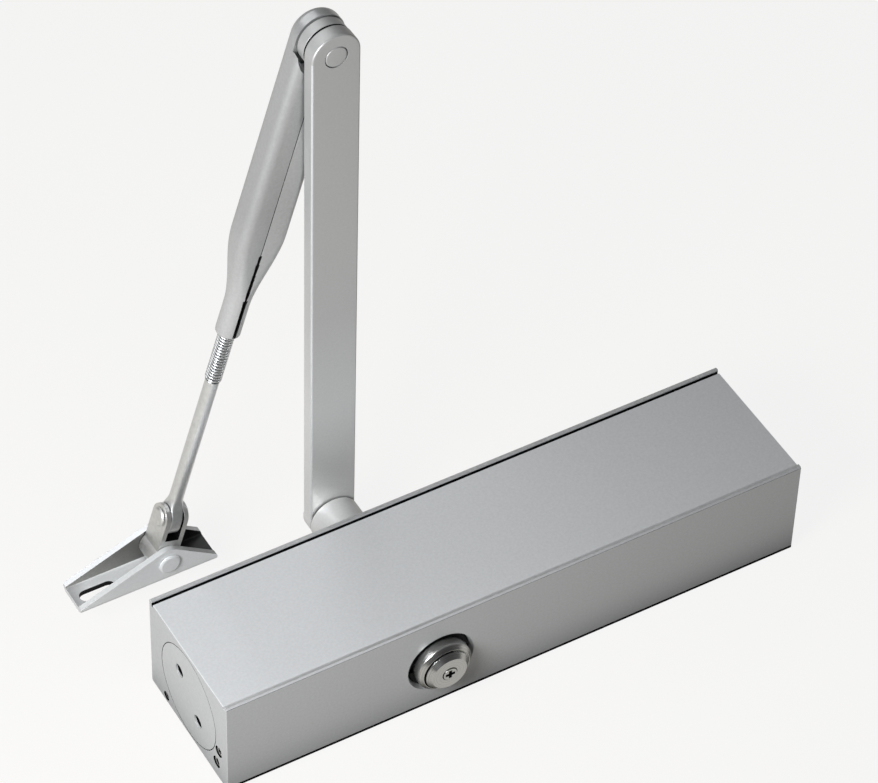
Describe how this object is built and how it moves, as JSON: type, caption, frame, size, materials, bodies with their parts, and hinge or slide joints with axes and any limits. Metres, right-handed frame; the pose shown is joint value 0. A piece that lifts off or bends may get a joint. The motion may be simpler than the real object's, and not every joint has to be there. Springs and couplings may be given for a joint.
{
  "type": "overhead door closer",
  "caption": "Overhead door closer with a long rectangular body, side spindle, flat main arm, folded tubular forearm, adjusting rod and frame shoe.",
  "frame": {"origin": "centre of the body's flat back face, which is screwed to the door", "axes": "+X along the body away from the end with the regulating valves, +Y along the spindle towards the arm, +Z out from the door"},
  "size_m": [0.2602, 0.1103, 0.2638],
  "materials": {
    "housing_lacquer": "satin silver metallic lacquer, fine grain",
    "plug_lacquer": "satin silver metallic lacquer over a turned face",
    "arm_lacquer": "satin silver metallic lacquer with burnished edges",
    "forearm_lacquer": "satin silver metallic lacquer on pressed sheet",
    "shoe_lacquer": "satin silver metallic lacquer on bent sheet",
    "zinc_plate": "bright zinc plate",
    "swivel_steel": "zinc plate, worn bright on the edges",
    "cap_steel": "turned and polished",
    "machined_steel": "machined, oiled",
    "spring_steel": "oil tempered wire",
    "nitrile": "smooth nitrile rubber"
  },
  "bodies": {
    "body": {"housing": "housing_lacquer", "end_plug_left": "plug_lacquer", "end_plug_right": "plug_lacquer", "plug_oring_left": "nitrile", "plug_oring_right": "nitrile", "plug_locking_screw": "zinc_plate", "bearing_near": "machined_steel", "bearing_far": "machined_steel", "shaft_seal_near": "nitrile", "shaft_seal_far": "nitrile", "bearing_cap_near": "machined_steel", "bearing_cap_far": "machined_steel", "closing_spring": "spring_steel"},
    "sweep_valve": {"sweep_valve_screw": "zinc_plate", "sweep_valve_oring": "nitrile"},
    "latch_valve": {"latch_valve_screw": "zinc_plate", "latch_valve_oring": "nitrile"},
    "spindle": {"pinion_shaft": "machined_steel", "spindle_cap": "cap_steel", "cap_screw": "zinc_plate", "arm_hub": "arm_lacquer", "main_arm": "arm_lacquer", "arm_washer": "zinc_plate", "arm_screw": "zinc_plate"},
    "piston": {"rack_piston": "machined_steel", "piston_seal": "nitrile", "check_valve_retainer": "machined_steel"},
    "ball": {"check_ball": "machined_steel"},
    "forearm": {"forearm_tube": "forearm_lacquer", "knuckle_spacer": "arm_lacquer", "knuckle_rivet": "arm_lacquer"},
    "rod": {"threaded_rod": "zinc_plate"},
    "swivel": {"swivel_block": "swivel_steel", "upper_pin": "swivel_steel"},
    "shoe": {"shoe_bracket": "shoe_lacquer", "lower_pin": "swivel_steel"}
  },
  "joints": [
    {"name": "spindle_turn", "type": "hinge", "parent": "body", "child": "spindle", "pos_m": [-0.0337, 0, 0.022], "axis": [0, 1, 0], "range_deg": [0, 180], "stiffness_Nm_per_rad": 3, "springref_deg": -57.3},
    {"name": "piston_slide", "type": "slide", "parent": "body", "child": "piston", "axis": [1, 0, 0], "range_m": [0, 0.0252], "deforming": ["closing_spring"]},
    {"name": "check_ball_lift", "type": "slide", "parent": "piston", "child": "ball", "axis": [-1, 0, 0], "range_m": [0, 0.0012]},
    {"name": "knuckle_turn", "type": "hinge", "parent": "spindle", "child": "forearm", "pos_m": [-0.0337, 0.0608, 0.2541], "axis": [0, 1, 0], "range_deg": [-5, 150]},
    {"name": "rod_length", "type": "slide", "parent": "forearm", "child": "rod", "axis": [-0.284, 0, -0.9588], "range_m": [-0.02, 0.02]},
    {"name": "swivel_tilt", "type": "hinge", "parent": "rod", "child": "swivel", "pos_m": [-0.09593, 0.06435, 0.04402], "axis": [0.9588, 0, -0.284], "range_deg": [-30, 30]},
    {"name": "shoe_turn", "type": "hinge", "parent": "swivel", "child": "shoe", "pos_m": [-0.10093, 0.06435, 0.02715], "axis": [0, 1, 0], "range_deg": [-30, 60]},
    {"name": "sweep_valve_turn", "type": "hinge", "parent": "body", "child": "sweep_valve", "pos_m": [-0.122, -0.0232, 0.0152], "axis": [1, 0, 0], "range_deg": [-180, 180]},
    {"name": "latch_valve_turn", "type": "hinge", "parent": "body", "child": "latch_valve", "pos_m": [-0.122, -0.0214, 0.0074], "axis": [1, 0, 0], "range_deg": [-180, 180]}
  ],
  "couplings": [
    {"joint": "piston_slide", "follows": "spindle_turn", "m_per_rad": 0.008}
  ]
}
